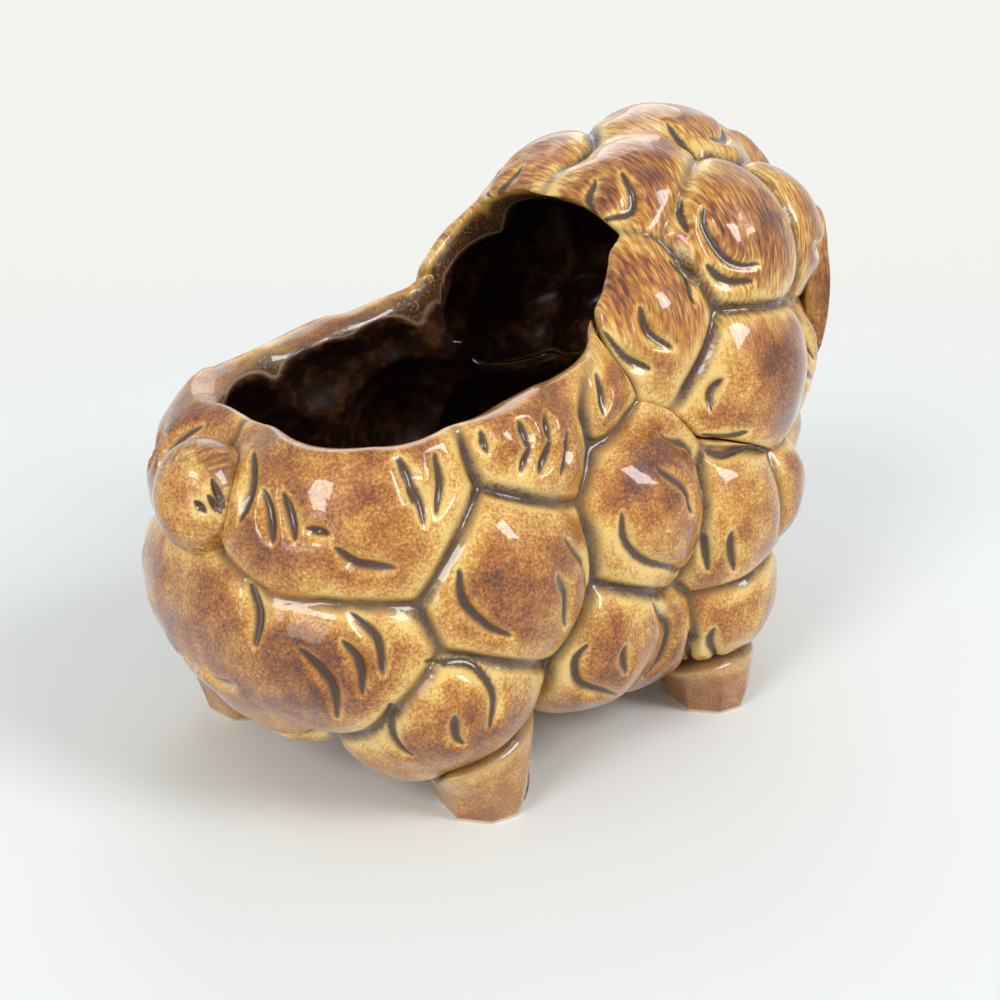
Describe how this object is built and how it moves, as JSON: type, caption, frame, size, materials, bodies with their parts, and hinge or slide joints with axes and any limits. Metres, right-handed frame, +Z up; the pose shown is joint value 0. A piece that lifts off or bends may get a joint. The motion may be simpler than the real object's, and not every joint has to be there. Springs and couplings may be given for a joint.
{
  "type": "animal shaped planter",
  "caption": "Hollow glazed ceramic lamb planter on short legs, with a long mouth along its back that runs up into the nape of a curly head.",
  "frame": {"origin": "on the floor, under the middle of the overall box", "axes": "+X from tail to muzzle, +Y the animal's left, +Z up"},
  "size_m": [0.177, 0.0984, 0.1305],
  "materials": {
    "fleece_glaze": "glossy mottled honey brown glaze, dark where it pools",
    "face_glaze": "glossy honey glaze, brushed",
    "leg_glaze": "thin tan brown glaze, bare at the sole's edge"
  },
  "bodies": {
    "root": {"body_shell": "fleece_glaze", "head_shell": "fleece_glaze", "face": "face_glaze", "tail": "fleece_glaze", "right_ear": "fleece_glaze", "left_ear": "fleece_glaze", "rear_right_leg": "leg_glaze", "rear_left_leg": "leg_glaze", "front_right_leg": "leg_glaze", "front_left_leg": "leg_glaze"}
  },
  "joints": []
}
